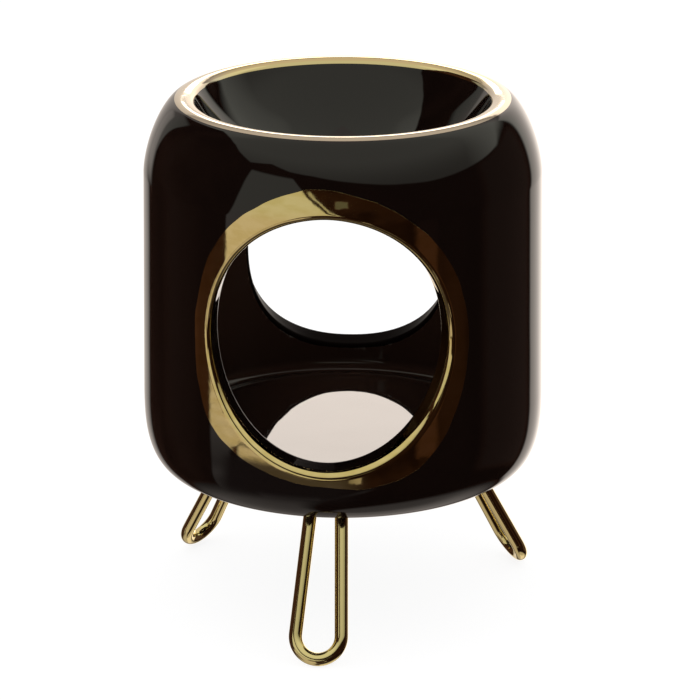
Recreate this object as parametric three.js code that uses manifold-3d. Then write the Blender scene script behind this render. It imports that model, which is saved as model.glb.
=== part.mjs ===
// Candle-heated aroma lamp. A one-piece glazed ceramic body holds an open bowl on top and a candle
// chamber below it, with a round opening in front and behind, and stands on three bent wire legs.
// Millimetres, +Z up. The origin is on the table under the body's axis, and the front opening
// faces -Y.

import * as THREE from 'three'
import { mergeVertices } from 'three/addons/utils/BufferGeometryUtils.js'
import Module from 'manifold-3d'

// Outside of the body
const standHeight = 35 // table to the underside of the base
const bodyHeight = 91.2 // underside of the base to the crest of the rim
const footRadius = 39.2 // flat underside
const wallFootRadius = 48.4 // widest, where the base's round corner ends
const wallTopRadius = 47.5 // where the shoulder starts
const baseCornerHeight = 18.3
const baseFullness = 2.74 // superellipse exponent: 2 is an ellipse, more is boxier
const shoulderHeight = 17.9 // up to the crest
const shoulderRise = 17.6 // of the superellipse that the shoulder follows
const shoulderTopRadius = 39.4 // where that superellipse would level off
const shoulderFullness = 1.53

// Rim, a bead between the shoulder and the bowl. A lean is the glaze's slope from level.
const rimOuterLean = THREE.MathUtils.degToRad(41) // where the shoulder ends
const rimInnerLean = THREE.MathUtils.degToRad(19) // where the tight rounding of the lip starts
const rimInnerRound = 5.5
const lipRound = 1.8

// Inside of the body
const wallThickness = 6
const floorThickness = 7.8
const floorRound = 3
const crownCover = 7 // crest of the rim down to where the hollow under it starts to close

// Bowl, a part of a sphere
const bowlMouthLean = THREE.MathUtils.degToRad(62) // where the lip ends
const bowlWall = 4.2

// Openings of the chamber, both cut by hand, measured along the curved wall. Rise goes from the
// underside of the base to the opening's centre.
const frontOpening = { halfWidth: 29.8, halfHeight: 30, fullness: 1.91, rise: 43.3, facing: 0 }
const backOpening = {
  halfWidth: 28.3,
  halfHeight: 28.9,
  fullness: 2.15,
  rise: 44.8,
  facing: THREE.MathUtils.degToRad(183.65),
}
const straightShare = 0.58 // of the cut: 0 runs to the body's axis, 1 goes straight in
const outerEdgeRound = 3
const innerEdgeRound = 2.6

// Fired lustre, drawn as a thin skin that follows the glaze
const lustreThickness = 0.3
const openingLustreWidth = 5.4 // from the opening's edge outward
const openingLustreStart = THREE.MathUtils.degToRad(40) // of the outer edge's round
const rimLustreLean = THREE.MathUtils.degToRad(27) // of the glaze at the rim lustre's outer edge

// Legs, each one wire bent into a hairpin
const wireDiameter = 3.2
const legFootInset = 0.5 // widest of the wall to the wire's centre at the foot
const legTopInset = 9.3 // edge of the flat underside to the middle of the leg
const legTopSpacing = 7 // between the wire's two runs, at the underside
const legBendRadius = 5.45
const legCount = 3
const legTurn = THREE.MathUtils.degToRad(-1.55) // from the front opening's axis

// Pockets under the base, and the cement that holds each leg in its own
const pocketDepth = 3.4
const cementWall = 1.2

// Clearances and cuts
const seatGap = 0.3
const cutOverrun = 8

// Facets
const turnSteps = 56
const curveSteps = 6
const openingSteps = 48
const edgeSteps = 3
const rimSteps = 2
const bandSteps = 2
const wireSides = 12
const wireSteps = 36

// Heights and radii that follow
const quarterTurn = Math.PI / 2
const crestHeight = standHeight + bodyHeight
const baseCornerTop = standHeight + baseCornerHeight
const shoulderFoot = crestHeight - shoulderHeight
const floorTop = standHeight + floorThickness
const crownFoot = crestHeight - crownCover
const wireRadius = wireDiameter / 2
const legFootRadius = wallFootRadius - legFootInset
const legTopRadius = footRadius - legTopInset

// Solids

const wasm = await Module()
wasm.setup()

function solidOf(geometry) {
  const bare = geometry.clone()
  bare.deleteAttribute('normal')
  bare.deleteAttribute('uv')
  const merged = mergeVertices(bare)
  const corners = merged.index.array
  const triVerts = []
  for (let i = 0; i < corners.length; i += 3) {
    const [a, b, c] = corners.subarray(i, i + 3)
    if (a !== b && b !== c && c !== a) {
      triVerts.push(a, b, c)
    }
  }
  const vertProperties = new Float32Array(merged.attributes.position.array)
  return new wasm.Manifold(
    new wasm.Mesh({ numProp: 3, vertProperties, triVerts: new Uint32Array(triVerts) }),
  )
}

function geometryOf(solid) {
  const { vertProperties, triVerts } = solid.getMesh()
  const geometry = new THREE.BufferGeometry()
  geometry.setAttribute('position', new THREE.BufferAttribute(vertProperties, 3))
  geometry.setIndex(new THREE.BufferAttribute(triVerts, 1))
  geometry.computeVertexNormals()
  return geometry
}

// Turns a profile of (radius, height) points about the Z axis.
function revolve(profile) {
  return new THREE.LatheGeometry(profile, turnSteps).rotateX(quarterTurn)
}

// Joins equal rings of points into one closed skin: the last ring meets the first, or, where two
// end points are given, a fan closes each end.
function skin(rings, ends = []) {
  const count = rings[0].length
  const points = [...rings.flat(), ...ends]
  const rows = ends.length > 0 ? rings.length - 1 : rings.length
  const faces = []
  for (let row = 0; row < rows; row++) {
    const here = row * count
    const there = ((row + 1) % rings.length) * count
    for (let i = 0; i < count; i++) {
      const next = (i + 1) % count
      faces.push(here + i, there + next, here + next)
      faces.push(here + i, there + i, there + next)
    }
  }
  if (ends.length > 0) {
    const first = rings.length * count
    const lastRing = first - count
    for (let i = 0; i < count; i++) {
      const next = (i + 1) % count
      faces.push(first, i, next)
      faces.push(first + 1, lastRing + next, lastRing + i)
    }
  }
  const geometry = new THREE.BufferGeometry().setFromPoints(points)
  geometry.setIndex(faces)
  geometry.computeVertexNormals()
  return geometry
}

// Curves of the body's profile

function roundPoint(centre, radius, angle) {
  return new THREE.Vector2(radius, 0).rotateAround(new THREE.Vector2(), angle).add(centre)
}

function arc(centre, radius, from, to, steps) {
  const points = []
  for (let i = 0; i <= steps; i++) {
    points.push(roundPoint(centre, radius, THREE.MathUtils.lerp(from, to, i / steps)))
  }
  return points
}

// A quarter of a superellipse from its side, width away from the centre, to its top, or to its
// bottom where rise is negative. It ends early where its slope has eased to endLean.
class Bulge {
  constructor({ centre, width, rise, fullness, endLean = 0 }) {
    Object.assign(this, { centre, width, rise, fullness })
    this.power = 2 / fullness
    const flattening = Math.abs(rise) / (width * Math.tan(endLean))
    this.endAngle = Math.atan(flattening ** (1 / (2 - this.power)))
  }

  // Points along the curve, moved out along its own normal by offset.
  points(offset = 0) {
    const points = []
    for (let i = 0; i <= curveSteps; i++) {
      const angle = (this.endAngle * i) / curveSteps
      const side = Math.cos(angle)
      const up = Math.sin(angle)
      const across = side ** (2 - this.power) / this.width
      const normal = new THREE.Vector2(across, up ** (2 - this.power) / this.rise).normalize()
      const point = new THREE.Vector2(this.width * side ** this.power, this.rise * up ** this.power)
      points.push(point.add(this.centre).addScaledVector(normal, offset))
    }
    return points
  }

  radiusAt(height) {
    const climbShare = (height - this.centre.y) / this.rise
    const reachShare = (1 - climbShare ** this.fullness) ** (1 / this.fullness)
    return this.centre.x + this.width * reachShare
  }
}

const baseCorner = new Bulge({
  centre: new THREE.Vector2(footRadius, baseCornerTop),
  width: wallFootRadius - footRadius,
  rise: -baseCornerHeight,
  fullness: baseFullness,
})
const shoulder = new Bulge({
  centre: new THREE.Vector2(shoulderTopRadius, shoulderFoot),
  width: wallTopRadius - shoulderTopRadius,
  rise: shoulderRise,
  fullness: shoulderFullness,
  endLean: rimOuterLean,
})

// The rim takes over from the shoulder without a crease, and the bowl from the rim.
const shoulderEnd = shoulder.points().at(-1)
const rimOuterRound = (crestHeight - shoulderEnd.y) / (1 - Math.cos(rimOuterLean))
const crestRadius = shoulderEnd.x - rimOuterRound * Math.sin(rimOuterLean)
const rimOuterCentre = new THREE.Vector2(crestRadius, crestHeight - rimOuterRound)
const rimInnerCentre = new THREE.Vector2(crestRadius, crestHeight - rimInnerRound)
const lipStart = quarterTurn + rimInnerLean
const lipEnd = quarterTurn + bowlMouthLean
const lipCentre = roundPoint(rimInnerCentre, rimInnerRound - lipRound, lipStart)
const bowlMouth = roundPoint(lipCentre, lipRound, lipEnd)
const bowlRound = bowlMouth.x / Math.sin(bowlMouthLean)
const bowlCentre = new THREE.Vector2(0, bowlMouth.y + bowlRound * Math.cos(bowlMouthLean))

// The rim from the given lean on its outside, over the crest and down to the bowl's mouth, lifted
// off the glaze.
function rimCurve(outerLean, lift) {
  const outer = quarterTurn - outerLean
  return [
    ...arc(rimOuterCentre, rimOuterRound + lift, outer, quarterTurn, rimSteps),
    ...arc(rimInnerCentre, rimInnerRound + lift, quarterTurn, lipStart, rimSteps - 1).slice(1),
    ...arc(lipCentre, lipRound + lift, lipStart, lipEnd, rimSteps).slice(1),
  ]
}

// Radius of the body's outside at a height above the table.
function outsideRadius(height) {
  if (height < baseCornerTop) {
    return baseCorner.radiusAt(height)
  }
  if (height > shoulderFoot) {
    return shoulder.radiusAt(height)
  }
  const climbShare = (height - baseCornerTop) / (shoulderFoot - baseCornerTop)
  return THREE.MathUtils.lerp(wallFootRadius, wallTopRadius, climbShare)
}

// Cuts a rising curve off at a height, if it comes that high, and ends it there.
function below(points, height) {
  const kept = points.filter((point) => point.y < height)
  if (kept.length < points.length) {
    const last = kept.at(-1)
    const next = points[kept.length]
    kept.push(last.clone().lerp(next, (height - last.y) / (next.y - last.y)))
  }
  return kept
}

// Places round an opening

// A point of the wall: turn goes round the opening, out runs along the wall from the opening's
// edge, and depth goes into the wall.
function onWall({ halfWidth, halfHeight, fullness, rise, facing }, turn, out, depth) {
  const across = Math.abs(Math.cos(turn) / halfWidth) ** fullness
  const along = Math.abs(Math.sin(turn) / halfHeight) ** fullness
  const reach = (across + along) ** (-1 / fullness) + out
  const height = standHeight + rise + reach * Math.sin(turn)
  const wallRadius = outsideRadius(standHeight + rise)
  const straightening = 1 + (straightShare * depth) / wallRadius
  const around = facing + ((reach * Math.cos(turn)) / wallRadius) * straightening
  const radius = outsideRadius(height) - depth
  return new THREE.Vector3(radius * Math.sin(around), -radius * Math.cos(around), height)
}

function ringOnWall(opening, { out, depth }) {
  const ring = []
  for (let i = 0; i < openingSteps; i++) {
    ring.push(onWall(opening, (2 * Math.PI * i) / openingSteps, out, depth))
  }
  return ring
}

// Places round the opening's outer edge, from the given angle of its round to the wall's outside,
// lifted off the glaze.
function roundOuterEdge(start, lift) {
  const reach = outerEdgeRound + lift
  const places = []
  for (let i = 0; i <= edgeSteps; i++) {
    const angle = THREE.MathUtils.lerp(start, quarterTurn, i / edgeSteps)
    const out = outerEdgeRound - reach * Math.cos(angle)
    places.push({ out, depth: outerEdgeRound - reach * Math.sin(angle) })
  }
  return places
}

function middleOf(ring) {
  const sum = new THREE.Vector3()
  ring.forEach((point) => sum.add(point))
  return sum.divideScalar(ring.length)
}

function roundInnerEdge() {
  const places = []
  for (let i = 0; i <= edgeSteps; i++) {
    const angle = (quarterTurn * i) / edgeSteps
    const out = innerEdgeRound - innerEdgeRound * Math.cos(angle)
    places.push({ out, depth: wallThickness - innerEdgeRound + innerEdgeRound * Math.sin(angle) })
  }
  return places
}

// Ceramic body

function bodyBlank() {
  const bowl = arc(bowlCentre, bowlRound, bowlMouthLean - quarterTurn, -quarterTurn, curveSteps)
  return revolve([
    new THREE.Vector2(0, standHeight),
    ...baseCorner.points().reverse(),
    ...shoulder.points(),
    ...rimCurve(rimOuterLean, 0).slice(1),
    ...bowl.slice(1),
  ])
}

// The hollow inside: the chamber, and the space between its shoulder and the bowl's underside.
function chamberHollow() {
  const roundFoot = wallFootRadius - wallThickness - floorRound
  const roundCentre = new THREE.Vector2(roundFoot, floorTop + floorRound)
  const innerShoulder = below(shoulder.points(-wallThickness), crownFoot)
  const underRound = bowlRound + bowlWall
  const underStart = Math.asin((innerShoulder.at(-1).y - bowlCentre.y) / underRound)
  const underBowl = arc(bowlCentre, underRound, underStart, -quarterTurn, curveSteps)
  const crownCentre = innerShoulder.at(-1).clone().lerp(underBowl[0], 1 / 2)
  const crownRadius = crownCentre.distanceTo(underBowl[0])
  return revolve([
    new THREE.Vector2(0, floorTop),
    ...arc(roundCentre, floorRound, -quarterTurn, 0, edgeSteps),
    ...innerShoulder,
    ...arc(crownCentre, crownRadius, 0, Math.PI, edgeSteps).slice(1, -1),
    ...underBowl,
  ])
}

// What is cut away for one opening, its outer and inner edges rounded over.
function openingCut(opening) {
  const places = [
    { out: outerEdgeRound, depth: -cutOverrun },
    ...roundOuterEdge(0, 0).reverse(),
    ...roundInnerEdge(),
    { out: innerEdgeRound, depth: wallThickness + cutOverrun },
  ]
  const rings = places.map((place) => ringOnWall(opening, place))
  return skin(rings, [rings[0], rings.at(-1)].map(middleOf))
}

// Lustre

function rimLustre() {
  const under = rimCurve(rimLustreLean, seatGap)
  const over = rimCurve(rimLustreLean, seatGap + lustreThickness)
  return revolve([...over, ...under.reverse(), over[0]])
}

function openingLustre(opening) {
  const across = (lift) => {
    const places = roundOuterEdge(openingLustreStart, lift)
    for (let i = 1; i <= bandSteps; i++) {
      const out = THREE.MathUtils.lerp(outerEdgeRound, openingLustreWidth, i / bandSteps)
      places.push({ out, depth: -lift })
    }
    return places
  }
  const places = [...across(seatGap + lustreThickness), ...across(seatGap).reverse()]
  return skin(places.map((place) => ringOnWall(opening, place)))
}

// Legs, drawn in front of the axis and turned to their places

const legSpread = legFootRadius - legTopRadius
const legDrop = standHeight - wireRadius
const legLength = Math.hypot(legSpread, legDrop)
const legLean = Math.atan2(legSpread, legDrop)
const bendCentre = legLength - legBendRadius
const wireEndHeight = standHeight + pocketDepth - seatGap - wireRadius * Math.sin(legLean)

// A point of the leg's own plane: side across it, and down along it from the underside.
function onLeg(side, down) {
  const radius = legTopRadius + down * Math.sin(legLean)
  return new THREE.Vector3(side, -radius, standHeight - down * Math.cos(legLean))
}

// The bend at the foot, which both straight runs leave as tangents.
class FootBend extends THREE.Curve {
  constructor(start) {
    super()
    this.start = start
  }

  getPoint(share, target = new THREE.Vector3()) {
    const angle = THREE.MathUtils.lerp(Math.PI - this.start, this.start, share)
    const down = bendCentre + legBendRadius * Math.sin(angle)
    return target.copy(onLeg(legBendRadius * Math.cos(angle), down))
  }
}

function legWire(radius, overrun) {
  const halfSpacing = legTopSpacing / 2
  const tangentReach = Math.hypot(halfSpacing, bendCentre)
  const bendStart = Math.acos(legBendRadius / tangentReach) - Math.atan2(bendCentre, halfSpacing)
  const tangentSide = legBendRadius * Math.cos(bendStart)
  const tangentDown = bendCentre + legBendRadius * Math.sin(bendStart)
  const endDown = (standHeight - wireEndHeight) / Math.cos(legLean) - overrun
  const endSide = halfSpacing + ((tangentSide - halfSpacing) * endDown) / tangentDown
  const path = new THREE.CurvePath()
  path.add(new THREE.LineCurve3(onLeg(-endSide, endDown), onLeg(-tangentSide, tangentDown)))
  path.add(new FootBend(bendStart))
  path.add(new THREE.LineCurve3(onLeg(tangentSide, tangentDown), onLeg(endSide, endDown)))
  const section = new THREE.Shape().absarc(0, 0, radius, 0, 2 * Math.PI)
  return new THREE.ExtrudeGeometry(section, {
    extrudePath: path,
    steps: wireSteps,
    curveSegments: wireSides / 2,
  })
}

// Oval block under the base that holds both ends of one leg, drawn at the pocket's outline less
// inset and of the given height.
function pocketBlock(inset, foot, height) {
  const shift = (pocketDepth / 2) * Math.tan(legLean)
  const bore = (wireRadius + seatGap) / Math.cos(legLean)
  const halfWidth = shift + bore + cementWall + seatGap
  const halfLength = legTopSpacing / 2 + wireRadius + seatGap + cementWall + seatGap
  const endCentre = halfLength - halfWidth
  const endRadius = halfWidth - inset
  const outline = new THREE.Shape()
  outline.absarc(endCentre, 0, endRadius, -quarterTurn, quarterTurn)
  outline.absarc(-endCentre, 0, endRadius, quarterTurn, quarterTurn + Math.PI)
  const block = new THREE.ExtrudeGeometry(outline, {
    depth: height,
    bevelEnabled: false,
    curveSegments: curveSteps,
  })
  return block.translate(0, shift - legTopRadius, foot)
}

function cementPad() {
  const pad = solidOf(pocketBlock(seatGap, standHeight, pocketDepth - seatGap))
  return geometryOf(pad.subtract(solidOf(legWire(wireRadius + seatGap, wireDiameter))))
}

function ceramicBody() {
  let body = solidOf(bodyBlank()).subtract(solidOf(chamberHollow()))
  for (const opening of [frontOpening, backOpening]) {
    body = body.subtract(solidOf(openingCut(opening)))
  }
  for (let i = 0; i < legCount; i++) {
    const pocket = pocketBlock(0, standHeight - cutOverrun, pocketDepth + cutOverrun)
    pocket.rotateZ(legTurn + (2 * Math.PI * i) / legCount)
    body = body.subtract(solidOf(pocket))
  }
  return geometryOf(body)
}

// Materials

const glaze = new THREE.MeshStandardMaterial({ color: '#0e0806', roughness: 0.12, metalness: 0 })
const lustre = new THREE.MeshStandardMaterial({ color: '#b9a269', roughness: 0.2, metalness: 1 })
const brass = new THREE.MeshStandardMaterial({ color: '#c2a35c', roughness: 0.18, metalness: 1 })
const cement = new THREE.MeshStandardMaterial({ color: '#b9b2a4', roughness: 0.8, metalness: 0 })

// Assembly

function piece(name, geometry, material) {
  const mesh = new THREE.Mesh(geometry, material)
  mesh.name = name
  return mesh
}

const lamp = new THREE.Group()
lamp.add(piece('ceramic_body', ceramicBody(), glaze))
lamp.add(piece('rim_lustre', rimLustre(), lustre))
lamp.add(piece('front_opening_lustre', openingLustre(frontOpening), lustre))
lamp.add(piece('back_opening_lustre', openingLustre(backOpening), lustre))

for (const [i, place] of ['front', 'right', 'left'].entries()) {
  const corner = new THREE.Group()
  corner.rotation.z = legTurn + (2 * Math.PI * i) / legCount
  corner.add(piece(`leg_${place}`, legWire(wireRadius, 0), brass))
  corner.add(piece(`leg_cement_${place}`, cementPad(), cement))
  lamp.add(corner)
}

export default lamp
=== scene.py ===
import math
from collections import namedtuple

import bmesh
import bpy
import numpy as np
from mathutils import Euler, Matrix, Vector
from mathutils.bvhtree import BVHTree


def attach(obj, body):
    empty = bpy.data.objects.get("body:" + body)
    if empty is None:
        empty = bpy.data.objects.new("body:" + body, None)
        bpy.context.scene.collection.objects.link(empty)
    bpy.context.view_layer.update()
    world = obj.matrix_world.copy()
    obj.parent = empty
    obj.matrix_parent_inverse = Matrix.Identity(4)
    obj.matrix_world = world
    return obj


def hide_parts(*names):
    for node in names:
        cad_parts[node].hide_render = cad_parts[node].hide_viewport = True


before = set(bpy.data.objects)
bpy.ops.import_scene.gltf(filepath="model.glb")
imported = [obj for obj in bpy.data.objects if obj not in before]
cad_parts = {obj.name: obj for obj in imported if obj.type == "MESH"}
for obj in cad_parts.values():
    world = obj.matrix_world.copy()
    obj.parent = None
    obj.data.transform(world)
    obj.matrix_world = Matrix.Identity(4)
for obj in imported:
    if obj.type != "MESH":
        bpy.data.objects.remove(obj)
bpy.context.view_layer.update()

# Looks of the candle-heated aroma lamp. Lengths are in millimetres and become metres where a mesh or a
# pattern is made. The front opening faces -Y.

METRES = 0.001

# Outside of the body
stand_height = 35
body_height = 91.2
foot_radius = 39.2
wall_foot_radius = 48.4
wall_top_radius = 47.5
base_corner_height = 18.3
base_fullness = 2.74
shoulder_height = 17.9
shoulder_rise = 17.6
shoulder_top_radius = 39.4
shoulder_fullness = 1.53

# Rim and bowl
rim_outer_lean = math.radians(41)
rim_inner_lean = math.radians(19)
rim_inner_round = 5.5
lip_round = 1.8
bowl_mouth_lean = math.radians(62)
bowl_wall = 4.2

# Inside of the body
wall_thickness = 6
floor_thickness = 7.8
floor_round = 3
crown_cover = 7

# Openings, each of its own shape. Going into the wall, each narrows by its taper on the side at its
# taper_turn and widens as much on the far side. The lustre reaches over its edge by reach at most.
Opening = namedtuple("Opening", [
    "half_width", "half_height", "fullness", "rise", "facing", "outer_round", "inner_round",
    "taper", "taper_turn", "reach",
])
front_opening = Opening(
    half_width=29.6, half_height=30.2, fullness=1.93, rise=43.5, facing=math.radians(1.4),
    outer_round=1.8, inner_round=1.0, taper=1.6, taper_turn=math.radians(305), reach=7.4,
)
back_opening = Opening(
    half_width=28.3, half_height=29.2, fullness=2.15, rise=44.8, facing=math.radians(183.65),
    outer_round=1.2, inner_round=1.0, taper=1.5, taper_turn=math.radians(90), reach=0.9,
)

# How an opening's sides go into the wall: 0 is towards the axis, and 1 is straight in
straight_share = 0.58

# A face this close to a cut's skin lies on it
touching = 0.005

# Lustre: it stands proud of the glaze by its lift, and its underside is sunk into the glaze
lustre_lift = 0.006
lustre_sink = 0.12
lustre_edge = 0.003
rim_lustre_lean = math.radians(27)

# The upper side of the rim's lustre begins these shares of a mesh step in from its lower side
rim_edge_shares = (0.02, 0.06)

# Outline of the band round an opening, as marks of (degrees round the opening, millimetres): its width
# outward from the opening's edge, and its reach into the opening over the rounded edge
band_width_marks = [
    (0, 5.3), (11, 5.3), (31, 5.6), (51, 5.8), (64, 6.2), (82, 6.7), (96, 7.6), (109, 7.1),
    (125, 6.8), (148, 6.0), (162, 5.1), (185, 4.9), (199, 6.0), (213, 7.2), (221, 6.8),
    (231, 5.7), (243, 4.3), (258, 3.3), (272, 3.2), (285, 5.0), (305, 7.2), (318, 6.9),
    (331, 6.2), (348, 5.4),
]
band_reach_marks = [
    (0, 7.4), (25, 7.4), (50, 6.0), (90, 4.3), (135, 3.5), (165, 2.3), (180, 2.1), (200, 2.5),
    (225, 3.3), (265, 2.5), (300, 3), (312, 5), (325, 7.4),
]

# Waves along that outline, as (how many go round, height, start)
outline_waves = [(17, 0.05, 0.4), (29, 0.04, 2.1), (43, 0.03, 4.0)]

# Legs
wire_diameter = 3.2
leg_foot_radius = 47.9
leg_top_radius = 29.9
leg_top_spacing = 7
leg_bend_radius = 5.45
leg_count = 3
leg_turn = math.radians(-1.55)
pocket_depth = 3.4
cement_wall = 1.2
seat_gap = 0.3
cut_overrun = 8

# Lower edge of the cement, as (inset, height above the base)
cement_edge = [(1.2, 0), (0.5, 0.05), (0.1, 0.3), (0, 0.8)]

# Unevenness of the surfaces: the size of its waves, and its relief. A finer ripple adds its share.
glaze_swell = 22
glaze_ripple = 4
glaze_ripple_share = 0.03
glaze_relief = 0.09
thin_glaze_grain = 2
thin_glaze_relief = 0.03
lustre_swell = 6
lustre_ripple = 1.2
lustre_ripple_share = 0.12
lustre_relief = 0.04
brush_stroke = 5
wire_swell = 4
wire_relief = 0.01
cement_grain = 1.5
cement_relief = 0.1

# Painted light: the glaze inside the chamber is painted a lighter brown for the light seen there, and
# this fades out between these two radii, and over this height
painted_chamber_light_inner = 41.8
painted_chamber_light_outer = 43.2
painted_chamber_light_soft = 1

# Floor, with a painted shadow: an area in front, dark in mirrors only, for the lamp's shadow on the
# table
floor_half_side = 3000
floor_drop = 0.1
painted_shadow_inner = 75
painted_shadow_outer = 165
painted_shadow_soft = 15

# Camera
camera_place = (77.6, -756.3, 322.9)
camera_tilt = math.radians(71.08)
camera_turn = math.radians(5.73)
lens_length = 170.06
film_width = 36

# Steps of the meshes
turn_steps = 288
corner_steps = 40
wall_steps = 44
rim_steps = 10
bowl_steps = 44
opening_steps = 256
outline_steps = 720
outline_blur_steps = 25
edge_steps = 16
band_steps = 16
wire_sides = 32
wire_step = 0.8

full_turn = 2 * math.pi
quarter_turn = math.pi / 2
crest_height = stand_height + body_height
base_corner_top = stand_height + base_corner_height
shoulder_foot = crest_height - shoulder_height
floor_top = stand_height + floor_thickness
crown_foot = crest_height - crown_cover
wire_radius = wire_diameter / 2


# Meshes


def object_of(name, data):
    made = bpy.data.objects.new(name, data)
    bpy.context.scene.collection.objects.link(made)
    return made


def skin(name, rings, ends=None):
    """Joins equal rings of points into a closed skin. The last ring meets the first, or, where two
    end points are given, a fan closes each end."""
    rings = np.asarray(rings, float)
    rows, count = rings.shape[:2]
    index = np.arange(rows * count).reshape(rows, count)
    here = index if ends is None else index[:-1]
    there = np.roll(index, -1, axis=0) if ends is None else index[1:]
    quads = np.stack([here, np.roll(here, -1, axis=1), np.roll(there, -1, axis=1), there], axis=-1)
    faces = quads.reshape(-1, 4).tolist()
    points = rings.reshape(-1, 3)
    if ends is not None:
        first = len(points)
        points = np.vstack([points, ends])
        for i in range(count):
            after = (i + 1) % count
            faces.append([first, index[0][after], index[0][i]])
            faces.append([first + 1, index[-1][i], index[-1][after]])
    mesh = bpy.data.meshes.new(name)
    mesh.from_pydata(points * METRES, [], faces)
    shape = bmesh.new()
    shape.from_mesh(mesh)
    if shape.calc_volume(signed=True) < 0:
        bmesh.ops.reverse_faces(shape, faces=shape.faces)
    for face in shape.faces:
        face.smooth = True
    shape.to_mesh(mesh)
    shape.free()
    return object_of(name, mesh)


def around(steps):
    """Angles that go once round."""
    return np.linspace(0, full_turn, steps, endpoint=False)


def turned(profile):
    """Rings of points, one for each (radius, height) of the profile."""
    profile = np.asarray(profile, float)
    turns = around(turn_steps)
    radius = profile[:, :1]
    height = np.repeat(profile[:, 1:], turn_steps, axis=1)
    return np.stack([radius * np.sin(turns), -radius * np.cos(turns), height], axis=-1)


def revolve(name, profile):
    """Turns a profile that starts and ends on the axis."""
    profile = np.asarray(profile, float)
    ends = [(0, 0, profile[0][1]), (0, 0, profile[-1][1])]
    return skin(name, turned(profile[1:-1]), ends)


def cut(target, cutters):
    for cutter in cutters:
        step = target.modifiers.new("cut", "BOOLEAN")
        step.operation = "DIFFERENCE"
        step.solver = "MANIFOLD"
        step.object = cutter
    settle(target)


def settle(target):
    """Applies all modifiers of an object."""
    graph = bpy.context.evaluated_depsgraph_get()
    mesh = bpy.data.meshes.new_from_object(target.evaluated_get(graph))
    target.modifiers.clear()
    target.data = mesh


def take_normals(target, sources):
    """Shades a cut mesh with the normals of the whole skins that it was cut from."""
    shape = bmesh.new()
    for source, reverse in sources:
        first = len(shape.faces)
        shape.from_mesh(source.data)
        if reverse:
            shape.faces.ensure_lookup_table()
            bmesh.ops.reverse_faces(shape, faces=shape.faces[first:])
    mesh = bpy.data.meshes.new("sources")
    shape.to_mesh(mesh)
    shape.free()
    guide = object_of("sources", mesh)
    for face in target.data.polygons:
        face.use_smooth = True
    step = target.modifiers.new("normals", "DATA_TRANSFER")
    step.object = guide
    step.use_loop_data = True
    step.data_types_loops = {"CUSTOM_NORMAL"}
    step.loop_mapping = "POLYINTERP_NEAREST"
    settle(target)
    discard([guide])


def faces_on(target, cutter):
    """The faces of a cut mesh that lie on the skin of its cutter."""
    corners = [corner.co for corner in cutter.data.vertices]
    tree = BVHTree.FromPolygons(corners, [face.vertices for face in cutter.data.polygons])
    near = touching * METRES
    return [face.index for face in target.data.polygons if tree.find_nearest(face.center)[3] < near]


def discard(things):
    for thing in things:
        mesh = thing.data
        bpy.data.objects.remove(thing)
        bpy.data.meshes.remove(mesh)


def about_axis(points, turn):
    along = math.cos(turn)
    aside = math.sin(turn)
    return points @ np.array([[along, aside, 0], [-aside, along, 0], [0, 0, 1]])


# Curves of the profile


def arc(centre, radius, start, end, steps):
    angles = np.linspace(start, end, steps + 1)
    return np.stack([centre[0] + radius * np.cos(angles), centre[1] + radius * np.sin(angles)], axis=-1)


def bulge(centre, width, rise, fullness, end_lean, steps, offset=0):
    """A quarter of a superellipse from its side to its top, or to where its slope is end_lean."""
    power = 2 / fullness
    end = quarter_turn
    if end_lean > 0:
        end = math.atan((abs(rise) / (width * math.tan(end_lean))) ** (1 / (2 - power)))
    angles = np.linspace(0, end, steps + 1)
    side = np.cos(angles).clip(0)
    up = np.sin(angles)
    normals = np.stack([side ** (2 - power) / width, up ** (2 - power) / rise], axis=-1)
    normals /= np.linalg.norm(normals, axis=1, keepdims=True)
    points = np.stack([width * side ** power, rise * up ** power], axis=-1)
    return points + np.asarray(centre) + offset * normals


def bulge_radius(centre_radius, width, rise, fullness, climb):
    share = np.clip(climb / rise, 0, 1)
    return centre_radius + width * (1 - share ** fullness) ** (1 / fullness)


def shoulder_curve(offset=0):
    width = wall_top_radius - shoulder_top_radius
    centre = (shoulder_top_radius, shoulder_foot)
    return bulge(centre, width, shoulder_rise, shoulder_fullness, rim_outer_lean, corner_steps, offset)


def base_corner_curve():
    width = wall_foot_radius - foot_radius
    centre = (foot_radius, base_corner_top)
    return bulge(centre, width, -base_corner_height, base_fullness, 0, corner_steps)[::-1]


def outside_radius(height):
    corner = wall_foot_radius - foot_radius
    ledge = wall_top_radius - shoulder_top_radius
    low = bulge_radius(foot_radius, corner, base_corner_height, base_fullness, base_corner_top - height)
    climb = height - shoulder_foot
    high = bulge_radius(shoulder_top_radius, ledge, shoulder_rise, shoulder_fullness, climb)
    share = (height - base_corner_top) / (shoulder_foot - base_corner_top)
    wall = wall_foot_radius + (wall_top_radius - wall_foot_radius) * share
    return np.where(height < base_corner_top, low, np.where(height > shoulder_foot, high, wall))


shoulder_end = shoulder_curve()[-1]
rim_outer_round = (crest_height - shoulder_end[1]) / (1 - math.cos(rim_outer_lean))
crest_radius = shoulder_end[0] - rim_outer_round * math.sin(rim_outer_lean)
rim_outer_centre = (crest_radius, crest_height - rim_outer_round)
rim_inner_centre = (crest_radius, crest_height - rim_inner_round)
lip_start = quarter_turn + rim_inner_lean
lip_end = quarter_turn + bowl_mouth_lean
lip_centre = arc(rim_inner_centre, rim_inner_round - lip_round, lip_start, lip_start, 0)[0]
bowl_mouth = arc(lip_centre, lip_round, lip_end, lip_end, 0)[0]
bowl_round = bowl_mouth[0] / math.sin(bowl_mouth_lean)
bowl_centre = (0, bowl_mouth[1] + bowl_round * math.cos(bowl_mouth_lean))


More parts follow.
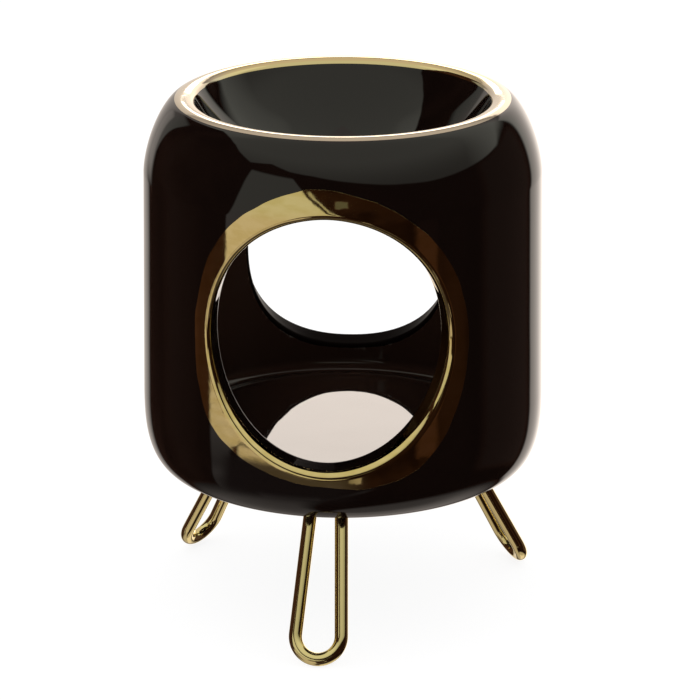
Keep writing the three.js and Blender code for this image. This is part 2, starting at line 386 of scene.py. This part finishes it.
def rim_curve(outer_lean, lift):
    outer = quarter_turn - outer_lean
    return np.vstack([
        arc(rim_outer_centre, rim_outer_round + lift, outer, quarter_turn, rim_steps),
        arc(rim_inner_centre, rim_inner_round + lift, quarter_turn, lip_start, rim_steps)[1:],
        arc(lip_centre, lip_round + lift, lip_start, lip_end, rim_steps)[1:],
    ])


# Places round an opening


def on_wall(opening, turn, out, depth):
    """Points of the wall: turn goes round the opening, out runs along the wall from the opening's
    edge, and depth goes into the wall, partly along the radius and partly straight."""
    across = np.abs(np.cos(turn) / opening.half_width) ** opening.fullness
    along = np.abs(np.sin(turn) / opening.half_height) ** opening.fullness
    taper = opening.taper * np.cos(turn - opening.taper_turn) * np.clip(depth / wall_thickness, 0, 1)
    reach = (across + along) ** (-1 / opening.fullness) + out - taper
    height = stand_height + opening.rise + reach * np.sin(turn)
    wall_radius = outside_radius(np.array(stand_height + opening.rise))
    aside = reach * np.cos(turn) / wall_radius * (1 + straight_share * depth / wall_radius)
    radius = outside_radius(height) - depth
    points = np.stack([radius * np.sin(aside), -radius * np.cos(aside), height], axis=-1)
    return about_axis(points, opening.facing)


# Ceramic body


def body_blank():
    wall = np.linspace((wall_foot_radius, base_corner_top), (wall_top_radius, shoulder_foot), wall_steps)
    bottom = np.linspace((0, stand_height), (foot_radius, stand_height), rim_steps)
    bowl = arc(bowl_centre, bowl_round, bowl_mouth_lean - quarter_turn, -quarter_turn, bowl_steps)
    return np.vstack([
        bottom[:-1],
        base_corner_curve(),
        wall[1:-1],
        shoulder_curve(),
        rim_curve(rim_outer_lean, 0)[1:],
        bowl[1:],
    ])


def chamber_hollow():
    round_foot = wall_foot_radius - wall_thickness - floor_round
    floor = np.linspace((0, floor_top), (round_foot, floor_top), wall_steps)
    corner = arc((round_foot, floor_top + floor_round), floor_round, -quarter_turn, 0, corner_steps)
    shoulder = shoulder_curve(-wall_thickness)
    shoulder = shoulder[shoulder[:, 1] < crown_foot]
    wall = np.linspace(corner[-1], shoulder[0], wall_steps)
    under_round = bowl_round + bowl_wall
    under_start = math.asin((shoulder[-1][1] - bowl_centre[1]) / under_round)
    under = arc(bowl_centre, under_round, under_start, -quarter_turn, bowl_steps)
    crown_centre = (shoulder[-1] + under[0]) / 2
    crown_radius = np.linalg.norm(shoulder[-1] - under[0]) / 2
    crown = arc(crown_centre, crown_radius, 0, math.pi, rim_steps)
    return np.vstack([floor[:-1], corner, wall[1:-1], shoulder, crown[1:-1], under])


def flat_width(opening):
    return wall_thickness - opening.inner_round - opening.outer_round


def edge_length(opening):
    return quarter_turn * (opening.inner_round + opening.outer_round) + flat_width(opening)


def rounded_edge(opening, run, lift=0):
    """How far out and how deep the edge of an opening is, run millimetres from its chamber side."""
    flat = flat_width(opening)
    past_inner = run - quarter_turn * opening.inner_round
    inner = np.clip(run / opening.inner_round, 0, quarter_turn)
    outer = np.clip((past_inner - flat) / opening.outer_round, 0, quarter_turn)
    out = opening.inner_round * (1 - np.sin(inner)) + opening.outer_round * (1 - np.cos(outer))
    depth = opening.inner_round * np.cos(inner) + opening.outer_round * (1 - np.sin(outer))
    depth = depth + flat - np.clip(past_inner, 0, flat)
    return out - lift * np.sin(inner) * np.cos(outer), depth + lift * (np.cos(inner) - np.sin(outer))


def opening_cut(name, opening):
    turns = around(opening_steps)
    rings = [on_wall(opening, turns, opening.inner_round, wall_thickness + cut_overrun)]
    for run in np.linspace(0, edge_length(opening), 2 * edge_steps + 1):
        rings.append(on_wall(opening, turns, *rounded_edge(opening, run)))
    rings.append(on_wall(opening, turns, opening.outer_round, -cut_overrun))
    rings = np.array(rings)
    return skin(name, rings, np.stack([rings[0].mean(axis=0), rings[-1].mean(axis=0)]))


leg_spread = leg_foot_radius - leg_top_radius
leg_drop = stand_height - wire_radius
leg_length = math.hypot(leg_spread, leg_drop)
leg_lean = math.atan2(leg_spread, leg_drop)
bend_centre = leg_length - leg_bend_radius
wire_end_height = stand_height + pocket_depth - seat_gap - wire_radius * math.sin(leg_lean)


def on_leg(side, down):
    radius = leg_top_radius + down * math.sin(leg_lean)
    return np.stack([side, -radius, stand_height - down * math.cos(leg_lean)], axis=-1)


def wire_path():
    """The middle of the wire, as side and down in the leg's own plane."""
    half_spacing = leg_top_spacing / 2
    reach = math.hypot(half_spacing, bend_centre)
    start = math.acos(leg_bend_radius / reach) - math.atan2(bend_centre, half_spacing)
    tangent = arc((0, bend_centre), leg_bend_radius, start, start, 0)[0]
    end_down = (stand_height - wire_end_height) / math.cos(leg_lean)
    end_side = half_spacing + (tangent[0] - half_spacing) * end_down / tangent[1]
    steps = math.ceil(np.linalg.norm(tangent - (end_side, end_down)) / wire_step)
    run = np.linspace((end_side, end_down), tangent, steps)
    bend = arc((0, bend_centre), leg_bend_radius, start, math.pi - start, steps)
    return np.vstack([run, bend[1:-1], run[::-1] * (-1, 1)])


def leg_wire(name, turn):
    path = wire_path()
    ahead = np.gradient(path, axis=0)
    ahead /= np.linalg.norm(ahead, axis=1, keepdims=True)
    across = np.stack([ahead[:, 1], -ahead[:, 0]], axis=-1)
    out_of_plane = np.array([0, -math.cos(leg_lean), math.sin(leg_lean)])
    sides = around(wire_sides)
    rings = []
    for i in range(len(path)):
        shift = wire_radius * np.cos(sides)[:, None] * across[i]
        ring = on_leg(path[i][0] + shift[:, 0], path[i][1] + shift[:, 1])
        rings.append(ring + wire_radius * np.sin(sides)[:, None] * out_of_plane)
    ends = [on_leg(*path[0]), on_leg(*path[-1])]
    return skin(name, about_axis(np.array(rings), turn), about_axis(np.array(ends), turn))


def pad_outline(inset):
    """The oval outline of a pocket under the base, less inset."""
    shift = pocket_depth / 2 * math.tan(leg_lean)
    bore = (wire_radius + seat_gap) / math.cos(leg_lean)
    half_width = shift + bore + cement_wall + seat_gap
    half_length = leg_top_spacing / 2 + wire_radius + seat_gap + cement_wall + seat_gap
    end_centre = half_length - half_width
    right = arc((end_centre, 0), half_width - inset, -quarter_turn, quarter_turn, corner_steps)
    left = arc((-end_centre, 0), half_width - inset, quarter_turn, quarter_turn + math.pi, corner_steps)
    return np.vstack([right, left]) + (0, shift - leg_top_radius)


def pad_block(name, edge, turn):
    """A block of the pocket's outline, less an inset at each height above the base."""
    rings = []
    for inset, above_base in edge:
        outline = pad_outline(inset)
        rings.append(np.column_stack([outline, np.full(len(outline), stand_height + above_base)]))
    rings = np.array(rings)
    ends = np.array([rings[0].mean(axis=0), rings[-1].mean(axis=0)])
    return skin(name, about_axis(rings, turn), about_axis(ends, turn))


leg_turns = {}
for i, place in enumerate(["front", "right", "left"]):
    leg_turns[place] = leg_turn + full_turn * i / leg_count

blank = revolve("blank", body_blank())
hollow = revolve("hollow", chamber_hollow())
openings = [opening_cut("front_cut", front_opening), opening_cut("back_cut", back_opening)]
pockets = []
for place, turn in leg_turns.items():
    pockets.append(pad_block("pocket_" + place, [(0, -cut_overrun), (0, pocket_depth)], turn))
body = object_of("glazed_body", blank.data.copy())
cut(body, [hollow, *openings, *pockets])
take_normals(body, [(blank, False), (hollow, True), (openings[0], True), (openings[1], True)])
back_edge_faces = faces_on(body, openings[1])
discard([blank, hollow, *openings, *pockets])
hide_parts("ceramic_body")


# Lustre


def brushed(turns, marks):
    """The line through marks round an opening, rounded and uneven."""
    marks = np.array(marks)
    fine = around(outline_steps)
    line = np.interp(fine, np.radians(marks[:, 0]), marks[:, 1], period=full_turn)
    blur = np.hanning(outline_blur_steps)
    wrap = outline_blur_steps // 2
    line = np.convolve(np.concatenate([line[-wrap:], line, line[:wrap]]), blur / blur.sum(), "valid")
    uneven = sum(size * np.sin(count * turns + start) for count, size, start in outline_waves)
    return np.interp(turns, fine, line, period=full_turn) + uneven


def opening_lustre(name, opening):
    turns = around(opening_steps)
    length = edge_length(opening)
    start = length - np.minimum(brushed(turns, band_reach_marks), opening.reach)
    width = (brushed(turns, band_width_marks) - opening.outer_round).clip(0)
    margins = (0, lustre_edge, 3 * lustre_edge)
    places = [(start + margin, width * 0) for margin in margins]
    for share in np.linspace(0, 1, 2 * edge_steps + 1)[1:]:
        places.append((start + (length - start) * share, width * 0))
    for share in np.linspace(0, 1, band_steps + 1)[1:-1]:
        places.append((length, width * share))
    places += [(length, width - margin) for margin in margins[::-1]]
    lifts = [-lustre_sink] + [lustre_lift] * (len(places) - 2) + [-lustre_sink] * (len(places) - 1)
    rings = []
    for (run, beyond), lift in zip(places + places[-2:0:-1], lifts):
        out, depth = rounded_edge(opening, run, lift)
        rings.append(on_wall(opening, turns, out + beyond, depth))
    return skin(name, np.array(rings))


def rim_lustre():
    under = rim_curve(rim_lustre_lean, -lustre_sink)
    over = rim_curve(rim_lustre_lean, lustre_lift)
    starts = [over[0] + (over[1] - over[0]) * share for share in rim_edge_shares]
    ends = [over[-1] + (over[-2] - over[-1]) * share for share in rim_edge_shares[::-1]]
    return skin("rim_gold", turned(np.vstack([starts, over[1:-1], ends, under[::-1]])))


bands = [
    opening_lustre("front_gold", front_opening),
    opening_lustre("back_gold", back_opening),
    rim_lustre(),
]
for band, node in zip(bands, ["front_opening_lustre", "back_opening_lustre", "rim_lustre"]):
    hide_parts(node)

legs = []
pads = []
for place, turn in leg_turns.items():
    leg = leg_wire("wire_" + place, turn)
    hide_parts("leg_" + place)
    legs.append(leg)
    pad = pad_block("pad_" + place, [*cement_edge, (0, pocket_depth)], turn)
    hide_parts("leg_cement_" + place)
    pads.append(pad)

for piece in [body, *bands, *legs, *pads]:
    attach(piece, "root")


# Shader arithmetic


class Field:
    """A number that varies over a shader, with plain arithmetic."""

    def __init__(self, tree, socket):
        self.tree = tree
        self.socket = socket

    def made(self, operation, *values):
        """The result of one step of arithmetic."""
        node = self.tree.nodes.new("ShaderNodeMath")
        node.operation = operation
        for slot, value in zip(node.inputs, values):
            self.feed(slot, value)
        return Field(self.tree, node.outputs[0])

    def feed(self, slot, value):
        if isinstance(value, Field):
            self.tree.links.new(value.socket, slot)
        else:
            slot.default_value = value

    def __add__(self, other):
        return self.made("ADD", self, other)

    def __sub__(self, other):
        return self.made("SUBTRACT", self, other)

    def __mul__(self, other):
        return self.made("MULTIPLY", self, other)

    def absolute(self):
        return self.made("ABSOLUTE", self)

    def either(self, other):
        return self.made("MAXIMUM", self, other)

    def rising(self, low, high):
        """Goes smoothly from 0 at low to 1 at high."""
        node = self.tree.nodes.new("ShaderNodeMapRange")
        node.interpolation_type = "SMOOTHSTEP"
        self.feed(node.inputs["Value"], self)
        self.feed(node.inputs["From Min"], low)
        self.feed(node.inputs["From Max"], high)
        return Field(self.tree, node.outputs["Result"])

    def falling(self, low, high):
        """Goes smoothly from 1 at low to 0 at high."""
        return (self * -1).rising(-high, -low)

    def ramp(self, start, end):
        """Goes smoothly from one (place, value) to the next."""
        return self.rising(start[0], end[0]) * (end[1] - start[1]) + start[1]

    def within(self, low, high, soft):
        """Is 1 from low to high, and fades over soft on both sides of each."""
        return self.rising(low - soft, low + soft) * self.falling(high - soft, high + soft)

    def drawn(self, points, span):
        """Follows a line through (degrees, value) points; values are held as shares of span."""
        node = self.tree.nodes.new("ShaderNodeFloatCurve")
        curve = node.mapping.curves[0]
        node.mapping.extend = "HORIZONTAL"
        while len(curve.points) < len(points):
            curve.points.new(0, 0)
        for point, (across, value) in zip(curve.points, points):
            point.location = ((across + 180) / 360, value / span)
            point.handle_type = "VECTOR"
        node.mapping.update()
        self.feed(node.inputs["Value"], (self + 180) * (1 / 360))
        return Field(self.tree, node.outputs["Value"]) * span


def axes_of(tree, socket):
    split = tree.nodes.new("ShaderNodeSeparateXYZ")
    tree.links.new(socket, split.inputs[0])
    return [Field(tree, split.outputs[axis]) for axis in "XYZ"]


def degrees_round(x, y):
    """Degrees round from the front to the right."""
    return x.made("ARCTAN2", x, y * -1) * math.degrees(1)


def mixed(tree, share, first, second):
    """Goes from the first colour to the second, each three numbers or the output of a node."""
    node = tree.nodes.new("ShaderNodeMix")
    node.data_type = "RGBA"
    tree.links.new(share.socket, node.inputs["Factor"])
    for slot, colour in [("A", first), ("B", second)]:
        if isinstance(colour, tuple):
            node.inputs[slot].default_value = (*colour, 1)
        else:
            tree.links.new(colour, node.inputs[slot])
    return node.outputs["Result"]


# Studio: the light that the glaze and the gold reflect, by direction. Each turn is in degrees round
# from the front to the right, and each climb in degrees up from level.

studio_turn = math.radians(-5.55)
full_light = (1, 1, 1)
even_light = (0.9, 0.9, 0.9)
warm_light = (1, 0.89, 0.8)
yellow_light = (1, 1, 0.86)
dark_tint = (1.7, 0.75, 0.5)
side_panel_level = 0.57
side_strip_level = 0.4
back_window_level = 4.3
back_left_level = 0.3
table_edge_level = 0.2

# What is darker than the first level takes the dark tint, and what is brighter than the second doesn't
tint_levels = (0.02, 0.08)

# Clouds in the dark of the room: the scale of their noise, and its (value, level) at both ends
cloud_scale = 3
cloud_dark = (0.3, 0.007)
cloud_bright = (0.7, 0.019)

# Lower edge of the panel overhead, as (turn, climb)
overhead_edge = [
    (-180, 27), (-150, 26), (-138, 40), (-129, 47.5), (-115, 47.5), (-100, 45.5), (-85, 41), (-75, 36),
    (-62, 31), (-48, 34.5), (-34, 31), (-18, 30), (0, 27), (13, 25), (31, 22), (52, 19.5), (72, 18.5),
    (94, 17.5), (112, 17), (124, 22), (140, 26), (180, 27),
]

# Left edge of the side panel, as (climb, degrees to the left of the front)
side_panel_edge = [(-20, 72), (-10, 67), (0, 63.5), (12, 60.5), (27, 58)]

# Light of the panel behind, as (turn, level), and of the table on the left, as (climb, level)
back_levels = [
    (-180, 1.0), (-165, 0.75), (-154, 0.6), (-150, 0.35), (-147, 0), (136, 0), (138.5, 0.9), (150, 1.2),
    (160, 1.6), (170, 1.6), (180, 1.2),
]
table_levels = [(-60, 0.3), (-50, 0.2), (-38, 0.2), (-32, 0.34), (-26, 0.22), (-21, 0.36), (-18, 0.52)]

# Small lights: behind on the left, the table in front on the left, two spots in front, and two faint
# ones on the right
Patch = namedtuple("Patch", ["turns", "turn_soft", "climbs", "climb_soft", "level"])
patches = [
    Patch(turns=(-154, -142), turn_soft=3, climbs=(-12, 15), climb_soft=5, level=0.65),
    Patch(turns=(-62, -16), turn_soft=2, climbs=(-54, -20), climb_soft=1.5, level=0.5),
    Patch(turns=(-4, 3.5), turn_soft=0.7, climbs=(6.5, 12), climb_soft=0.7, level=0.1),
    Patch(turns=(4, 11), turn_soft=0.7, climbs=(-33.5, -28), climb_soft=0.7, level=0.4),
    Patch(turns=(42, 56), turn_soft=3, climbs=(-22, -14), climb_soft=1, level=0.024),
    Patch(turns=(88, 134), turn_soft=6, climbs=(-32, 17), climb_soft=3, level=0.05),
]
room_patch = Patch(turns=(-122, -100), turn_soft=10, climbs=(-30, 20), climb_soft=6, level=0.012)


def patch_light(turn, climb, patch):
    across = turn.within(*patch.turns, soft=patch.turn_soft)
    return across * climb.within(*patch.climbs, soft=patch.climb_soft) * patch.level


def overhead_panel(turn, climb):
    """Brighter straight up and beside the lamp than in front, with a softer edge behind on the right."""
    soft = turn.ramp((105, 0.7), (135, 6.7))
    shape = (climb - turn.drawn(overhead_edge, span=90)).rising(soft * -1, soft)
    sideways = turn.absolute()
    beside = sideways.rising(60, 115) * 0.8 - sideways.rising(135, 155) * 0.4
    level = climb.ramp((18, 0.3), (46, 0.64)).either(beside * climb.falling(55, 80))
    return shape * level


def side_panel(turn, climb):
    """A tall panel in front on the left, whose right side slants and whose foot steps up."""
    soft = 0.8
    inside_left = turn + climb.drawn(side_panel_edge, span=90)
    inside_right = (turn + climb * 0.9 + 7) * -1
    foot = turn.ramp((-34, -19), (-22, -8))
    shape = inside_left.rising(-soft, soft) * inside_right.rising(-soft, soft)
    shape = shape * (climb - foot).rising(-soft, soft) * climb.falling(25, 27)
    return shape * side_panel_level


def side_strip(turn, climb):
    """A narrow light along the right side of the side panel."""
    line = turn + climb * 0.9 + 3.5
    return line.within(-1, 1, soft=0.6) * climb.within(-2, 18, soft=1) * side_strip_level


def back_panel(turn, climb):
    """A wide panel behind, with a bright window in it."""
    wide = turn.drawn(back_levels, span=4) * climb.within(-38, 27, soft=2)
    window = turn.absolute().rising(170, 175) * climb.within(15, 23, soft=1) * back_window_level
    return wide.either(window)


def back_left_panel(turn, climb):
    """A dimmer panel beside the wide one, with a slanting foot."""
    above_foot = (climb - turn * 2 - 278).rising(-2, 2)
    return turn.within(-152, -129, soft=2) * above_foot * climb.within(-13, 26, soft=3) * back_left_level


def table_on_left(turn, climb):
    left_end = climb.ramp((-50, -95), (-18, -81))
    right_end = climb.ramp((-22, -68), (-18.5, -60))
    shape = (turn - left_end).rising(-1.5, 1.5) * (right_end - turn).rising(-2, 2)
    return shape * climb.within(-54, -17.5, soft=0.5) * climb.drawn(table_levels, span=1)


def table_edge(turn, climb):
    """The thin bright edge of the table in front."""
    line = climb - turn * 0.4 + 47
    return line.within(-1.5, 1.5, soft=1.5) * turn.within(-28, 18, soft=6) * table_edge_level


def table_below(turn, climb):
    """The table round the foot of the lamp, with the lamp's own shade left dark."""
    shade_middle = climb * 2.4 + 157.6
    shade_reach = climb * 1.1 + 101.4
    past_shade = (turn - shade_middle).absolute() - shade_reach
    shape = climb.falling(-58, -38) * past_shade.rising(-10, 22)
    return shape * turn.ramp((85, 0.45), (125, 0.8))


def dark_room(tree, direction, turn, climb):
    """The faint uneven light of the room, and one dim patch in it."""
    cloudy = tree.nodes.new("ShaderNodeTexNoise")
    cloudy.inputs["Scale"].default_value = cloud_scale
    tree.links.new(direction, cloudy.inputs["Vector"])
    murk = Field(tree, cloudy.outputs[0]).ramp(cloud_dark, cloud_bright)
    murk = murk * turn.ramp((-60, 1.55), (20, 0.55))
    return patch_light(turn, climb, room_patch) + murk


def studio(world):
    tree = world.node_tree
    tree.nodes.clear()
    link = tree.links.new
    place = tree.nodes.new("ShaderNodeTexCoord")
    spin = tree.nodes.new("ShaderNodeVectorRotate")
    spin.rotation_type = "Z_AXIS"
    spin.inputs["Angle"].default_value = studio_turn
    link(place.outputs["Generated"], spin.inputs["Vector"])
    direction = spin.outputs["Vector"]
    x, y, z = axes_of(tree, direction)
    turn = degrees_round(x, y)
    climb = z.made("ARCSINE", z) * math.degrees(1)

    lights = [
        overhead_panel, side_panel, side_strip, back_panel, back_left_panel,
        table_on_left, table_edge, table_below,
    ]
    bright = dark_room(tree, direction, turn, climb)
    for light in lights:
        bright = bright.either(light(turn, climb))
    for patch in patches:
        bright = bright.either(patch_light(turn, climb, patch))

    in_front = turn.absolute().falling(130, 150)
    light_tint = mixed(tree, climb.rising(-25, 10) * in_front, warm_light, yellow_light)
    tint = mixed(tree, bright.rising(*tint_levels), dark_tint, light_tint)
    tinted = tree.nodes.new("ShaderNodeVectorMath")
    tinted.operation = "SCALE"
    link(tint, tinted.inputs[0])
    link(bright.socket, tinted.inputs["Scale"])

    ray = tree.nodes.new("ShaderNodeLightPath")
    seen = Field(tree, ray.outputs["Is Camera Ray"])
    mirrored = Field(tree, ray.outputs["Is Glossy Ray"])
    through = Field(tree, ray.outputs["Is Transmission Ray"])
    lit = mixed(tree, mirrored, even_light, tinted.outputs["Vector"])
    light = tree.nodes.new("ShaderNodeBackground")
    link(mixed(tree, seen.either(through), lit, full_light), light.inputs["Color"])
    out = tree.nodes.new("ShaderNodeOutputWorld")
    link(light.outputs["Background"], out.inputs["Surface"])


world = bpy.data.worlds.new("studio")
world.use_nodes = True
studio(world)
world.cycles.sampling_method = "NONE"
bpy.context.scene.world = world


# Materials

glaze_colour = (0.0045, 0.0024, 0.0018)
# Lighter brown that paints the light seen inside the chamber
painted_chamber_light_colour = (0.06, 0.03, 0.02)
lustre_colour = (0.87, 0.7, 0.33)
thick_lustre_colour = (0.79, 0.62, 0.25)
rim_lustre_colour = (0.83, 0.69, 0.36)
# Paler gold that paints the washed-out highlight on the front and the sides of the rim
painted_highlight_lustre_colour = (0.7, 0.62, 0.48)
brass_colour = (0.95, 0.8, 0.38)
cement_colour = (0.48, 0.44, 0.38)


def surface(name, colour, roughness, metallic=0):
    material = bpy.data.materials.new(name)
    material.use_nodes = True
    shader = material.node_tree.nodes["Principled BSDF"]
    shader.inputs["Base Color"].default_value = (*colour, 1)
    shader.inputs["Roughness"].default_value = roughness
    shader.inputs["Metallic"].default_value = metallic
    return material


def noise(tree, size, detail, stretch=(1, 1, 1)):
    """Noise whose features are about size millimetres across, times stretch along each axis."""
    place = tree.nodes.new("ShaderNodeTexCoord")
    scale = tree.nodes.new("ShaderNodeMapping")
    scale.inputs["Scale"].default_value = [1 / (size * METRES * axis) for axis in stretch]
    tree.links.new(place.outputs["Object"], scale.inputs["Vector"])
    pattern = tree.nodes.new("ShaderNodeTexNoise")
    pattern.inputs["Scale"].default_value = 1
    pattern.inputs["Detail"].default_value = detail
    tree.links.new(scale.outputs["Vector"], pattern.inputs["Vector"])
    return Field(tree, pattern.outputs[0])


def bump(material, height, relief):
    tree = material.node_tree
    node = tree.nodes.new("ShaderNodeBump")
    node.inputs["Distance"].default_value = relief * METRES
    tree.links.new(height.socket, node.inputs["Height"])
    tree.links.new(node.outputs["Normal"], tree.nodes["Principled BSDF"].inputs["Normal"])


def where(tree):
    """Millimetres from the axis, degrees round from the front to the right, and millimetres up."""
    place = tree.nodes.new("ShaderNodeTexCoord")
    x, y, z = axes_of(tree, place.outputs["Object"])
    square = x * x + y * y
    radius = square.made("SQRT", square)
    return radius * (1 / METRES), degrees_round(x, y), z * (1 / METRES)


def two_colours(material, first, second, share):
    tree = material.node_tree
    colour = mixed(tree, share, first, second)
    tree.links.new(colour, tree.nodes["Principled BSDF"].inputs["Base Color"])


def black_glaze():
    """Gloss, nearly black outside, with light in the chamber painted as a lighter brown, and with a slow
    swell and a fine ripple.
    """
    glaze = surface("black_glaze", glaze_colour, roughness=0.03)
    tree = glaze.node_tree
    radius, _, height = where(tree)
    under_bowl = bowl_centre[1] - bowl_round - bowl_wall
    # Painted light: the glaze inside the chamber is a lighter brown, for the light seen there
    painted_chamber_light = radius.falling(painted_chamber_light_inner, painted_chamber_light_outer)
    painted_chamber_light = painted_chamber_light * height.within(floor_top, under_bowl, soft=painted_chamber_light_soft)
    two_colours(glaze, glaze_colour, painted_chamber_light_colour, painted_chamber_light)
    waves = noise(tree, glaze_swell, detail=1)
    waves = waves + noise(tree, glaze_ripple, detail=2) * glaze_ripple_share
    bump(glaze, waves, glaze_relief)
    return glaze


def thin_glaze():
    """The dull, thin glaze on the edge of the back opening."""
    glaze = surface("thin_glaze", glaze_colour, roughness=0.3)
    tree = glaze.node_tree
    tree.nodes["Principled BSDF"].inputs["Specular IOR Level"].default_value = 0.01
    bump(glaze, noise(tree, thin_glaze_grain, detail=2), thin_glaze_relief)
    return glaze


def roughen_lustre(lustre):
    tree = lustre.node_tree
    waves = noise(tree, lustre_swell, detail=2)
    waves = waves + noise(tree, lustre_ripple, detail=2) * lustre_ripple_share
    bump(lustre, waves, lustre_relief)


def gold_lustre():
    """Gold with level brush strokes, deeper in colour where it is thick."""
    lustre = surface("gold_lustre", lustre_colour, roughness=0.05, metallic=1)
    strokes = noise(lustre.node_tree, brush_stroke, detail=3, stretch=(1, 1, 0.4)).rising(0.35, 0.7)
    two_colours(lustre, lustre_colour, thick_lustre_colour, strokes)
    roughen_lustre(lustre)
    return lustre


def rim_gold():
    """Gold with a painted highlight: paler on the front and the sides of the rim, where its reflections
    look washed out.
    """
    lustre = surface("rim_lustre", rim_lustre_colour, roughness=0.05, metallic=1)
    _, turn, _ = where(lustre.node_tree)
    behind_bowl = turn.absolute().rising(105, 130)
    two_colours(lustre, painted_highlight_lustre_colour, rim_lustre_colour, behind_bowl)
    roughen_lustre(lustre)
    return lustre


def polished_brass():
    brass = surface("polished_brass", brass_colour, roughness=0.07, metallic=1)
    bump(brass, noise(brass.node_tree, wire_swell, detail=3), wire_relief)
    return brass


def set_cement():
    cement = surface("set_cement", cement_colour, roughness=0.8)
    bump(cement, noise(cement.node_tree, cement_grain, detail=4), cement_relief)
    return cement


body.data.materials.clear()
body.data.materials.append(black_glaze())
body.data.materials.append(thin_glaze())
for index in back_edge_faces:
    body.data.polygons[index].material_index = 1
gold = gold_lustre()
for band, lustre in zip(bands, [gold, gold, rim_gold()]):
    band.data.materials.append(lustre)
brass = polished_brass()
for leg in legs:
    leg.data.materials.append(brass)
cement = set_cement()
for pad in pads:
    pad.data.materials.append(cement)


# Floor

floor_colour = (0.85, 0.85, 0.85)
# Colour of the painted shadow that mirrors see on the floor in front of the lamp
painted_shadow_colour = (0.06, 0.05, 0.05)
floor_glow = 1.16
floor_glow_share = 0.75


def blend(tree, share, first, second):
    node = tree.nodes.new("ShaderNodeMixShader")
    tree.links.new(share.socket, node.inputs["Fac"])
    tree.links.new(first.outputs[0], node.inputs[1])
    tree.links.new(second.outputs[0], node.inputs[2])
    return node


def floor_surface():
    """White and shaded by the lamp where it is seen, and clear in mirrors but for a painted shadow in
    front, for the lamp's shadow on the table.
    """
    material = surface("pale_floor", floor_colour, roughness=1)
    tree = material.node_tree
    shader = tree.nodes["Principled BSDF"]
    shader.inputs["Specular IOR Level"].default_value = 0
    glow = tree.nodes.new("ShaderNodeEmission")
    glow.inputs["Strength"].default_value = floor_glow
    clear = tree.nodes.new("ShaderNodeBsdfTransparent")
    shade = tree.nodes.new("ShaderNodeEmission")
    shade.inputs["Color"].default_value = (*painted_shadow_colour, 1)
    radius, turn, _ = where(tree)
    # Painted shadow: a dark area in front of the lamp that only mirrors see
    painted_shadow = radius.within(painted_shadow_inner, painted_shadow_outer, soft=painted_shadow_soft)
    painted_shadow = painted_shadow * turn.rising(-60, -50) * turn.falling(0, 20)
    ray = tree.nodes.new("ShaderNodeLightPath")
    seen = Field(tree, ray.outputs["Is Camera Ray"]) * floor_glow_share
    mirrored = Field(tree, ray.outputs["Is Glossy Ray"])
    final = blend(tree, mirrored, blend(tree, seen, shader, glow), blend(tree, painted_shadow, clear, shade))
    tree.links.new(final.outputs[0], tree.nodes["Material Output"].inputs["Surface"])
    return material


half_side = floor_half_side * METRES
corners = [(half_side * x, half_side * y, 0) for x, y in [(-1, -1), (1, -1), (1, 1), (-1, 1)]]
floor_mesh = bpy.data.meshes.new("floor")
floor_mesh.from_pydata(corners, [], [(0, 1, 2, 3)])
floor_mesh.materials.append(floor_surface())
floor = object_of("floor", floor_mesh)
floor.location.z = -floor_drop * METRES

# Camera

lens = bpy.data.cameras.new("camera")
lens.lens = lens_length
lens.sensor_width = film_width
camera = object_of("camera", lens)
camera.location = Vector(camera_place) * METRES
camera.rotation_euler = Euler((camera_tilt, 0, camera_turn))
bpy.context.scene.camera = camera
bpy.context.scene.view_settings.view_transform = "Standard"
